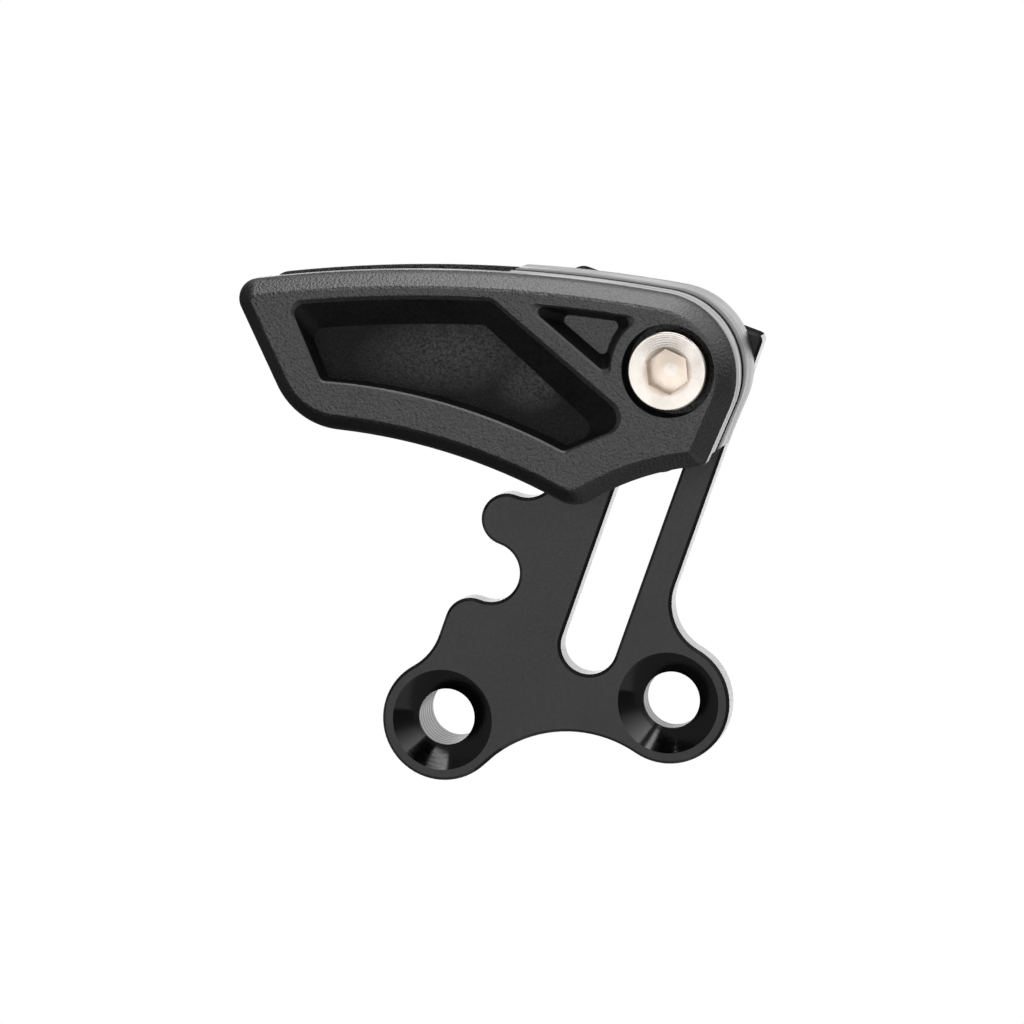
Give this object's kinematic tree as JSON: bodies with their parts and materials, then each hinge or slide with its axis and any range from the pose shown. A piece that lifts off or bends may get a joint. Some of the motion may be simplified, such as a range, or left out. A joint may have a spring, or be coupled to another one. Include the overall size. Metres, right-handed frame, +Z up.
{
  "type": "bicycle chain guide",
  "caption": "Upper chain guide: a slotted backplate bolted to the bicycle frame carries a moulded two-plate guide that slides along the slot and is clamped by a cap screw.",
  "frame": {"origin": "midway between the two mounting holes, on the backplate's rear face", "axes": "+X along the line of the mounting holes, +Y rearwards towards the bicycle frame, +Z up"},
  "size_m": [0.0642, 0.0306, 0.0684],
  "materials": {
    "anodised_plate": "black anodised, satin",
    "moulded_nylon": "fine spark-eroded texture",
    "plated_steel": "bright nickel plated"
  },
  "bodies": {
    "plate": {"backplate": "anodised_plate"},
    "slider": {"outer_guide": "moulded_nylon", "inner_guide": "moulded_nylon", "guide_bolt": "plated_steel", "slot_nut": "plated_steel"}
  },
  "joints": [
    {"name": "guide_slide", "type": "slide", "parent": "plate", "child": "slider", "axis": [0.4289, 0, 0.9033], "range_m": [-0.028, 0]}
  ]
}
